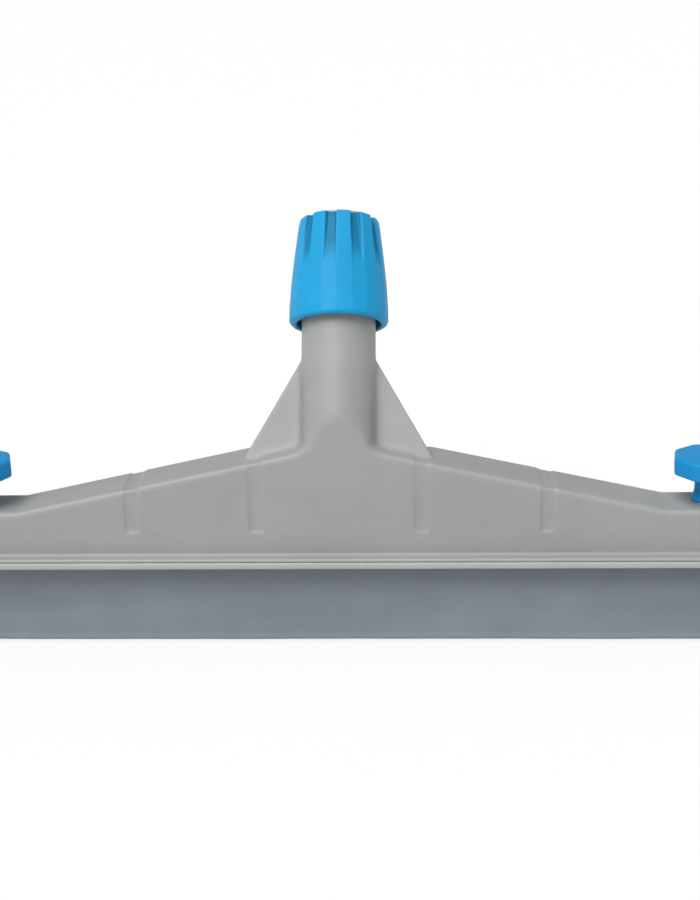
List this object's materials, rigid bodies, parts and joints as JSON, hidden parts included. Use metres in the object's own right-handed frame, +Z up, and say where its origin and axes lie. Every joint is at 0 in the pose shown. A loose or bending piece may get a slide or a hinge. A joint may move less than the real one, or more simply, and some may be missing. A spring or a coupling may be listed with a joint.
{
  "type": "floor squeegee head",
  "caption": "Floor squeegee head with two foam rubber blades in a clamped cassette, end knobs and a leaning pole socket with a collet and lock nut.",
  "frame": {"origin": "middle of the front blade's wiping edge, on the floor", "axes": "+X along the blades, +Z up, -Y towards the front of the head; the pole socket leans back towards +Y"},
  "size_m": [0.35, 0.0785, 0.1834],
  "materials": {
    "body_grey": "satin",
    "cassette_grey": "satin",
    "collet_grey": "satin",
    "nut_blue": "satin",
    "knob_blue": "satin",
    "blade_rubber": "matte",
    "zinc_steel": "satin",
    "brass": "satin"
  },
  "bodies": {
    "head": {"head_body": "body_grey", "left_knob_washer": "zinc_steel", "right_knob_washer": "zinc_steel"},
    "collet": {"pole_collet": "collet_grey"},
    "lock_nut": {"lock_nut": "nut_blue"},
    "cassette": {"blade_carrier": "cassette_grey", "front_blade": "blade_rubber", "rear_blade": "blade_rubber", "spacer_bar": "cassette_grey", "spacer_screws": "zinc_steel", "left_end_cap": "cassette_grey", "right_end_cap": "cassette_grey", "left_stud": "zinc_steel", "right_stud": "zinc_steel", "left_stud_nut": "zinc_steel", "right_stud_nut": "zinc_steel"},
    "left_knob": {"left_knob": "knob_blue", "left_knob_insert": "brass"},
    "right_knob": {"right_knob": "knob_blue", "right_knob_insert": "brass"}
  },
  "joints": [
    {"name": "lock_nut_turn", "type": "hinge", "parent": "collet", "child": "lock_nut", "pos_m": [0, 0.03672, 0.1477], "axis": [0, 0.4924, 0.8704], "range_deg": [0, 720]},
    {"name": "collet_rise", "type": "slide", "parent": "head", "child": "collet", "axis": [0, 0.4924, 0.8704], "range_m": [0, 0.006]},
    {"name": "right_knob_turn", "type": "hinge", "parent": "head", "child": "right_knob", "pos_m": [0.157, 0.00535, 0.062], "axis": [0, 0, 1], "range_deg": [0, 1440]},
    {"name": "left_knob_turn", "type": "hinge", "parent": "head", "child": "left_knob", "pos_m": [-0.157, 0.00535, 0.062], "axis": [0, 0, 1], "range_deg": [0, 1440]},
    {"name": "cassette_drop", "type": "slide", "parent": "head", "child": "cassette", "axis": [0, 0, -1], "range_m": [0, 0.004]}
  ],
  "couplings": [
    {"joint": "collet_rise", "follows": "lock_nut_turn", "m_per_rad": 0.00047746},
    {"joint": "right_knob_turn", "follows": "cassette_drop", "rad_per_m": 6283.2},
    {"joint": "left_knob_turn", "follows": "cassette_drop", "rad_per_m": 6283.2}
  ]
}
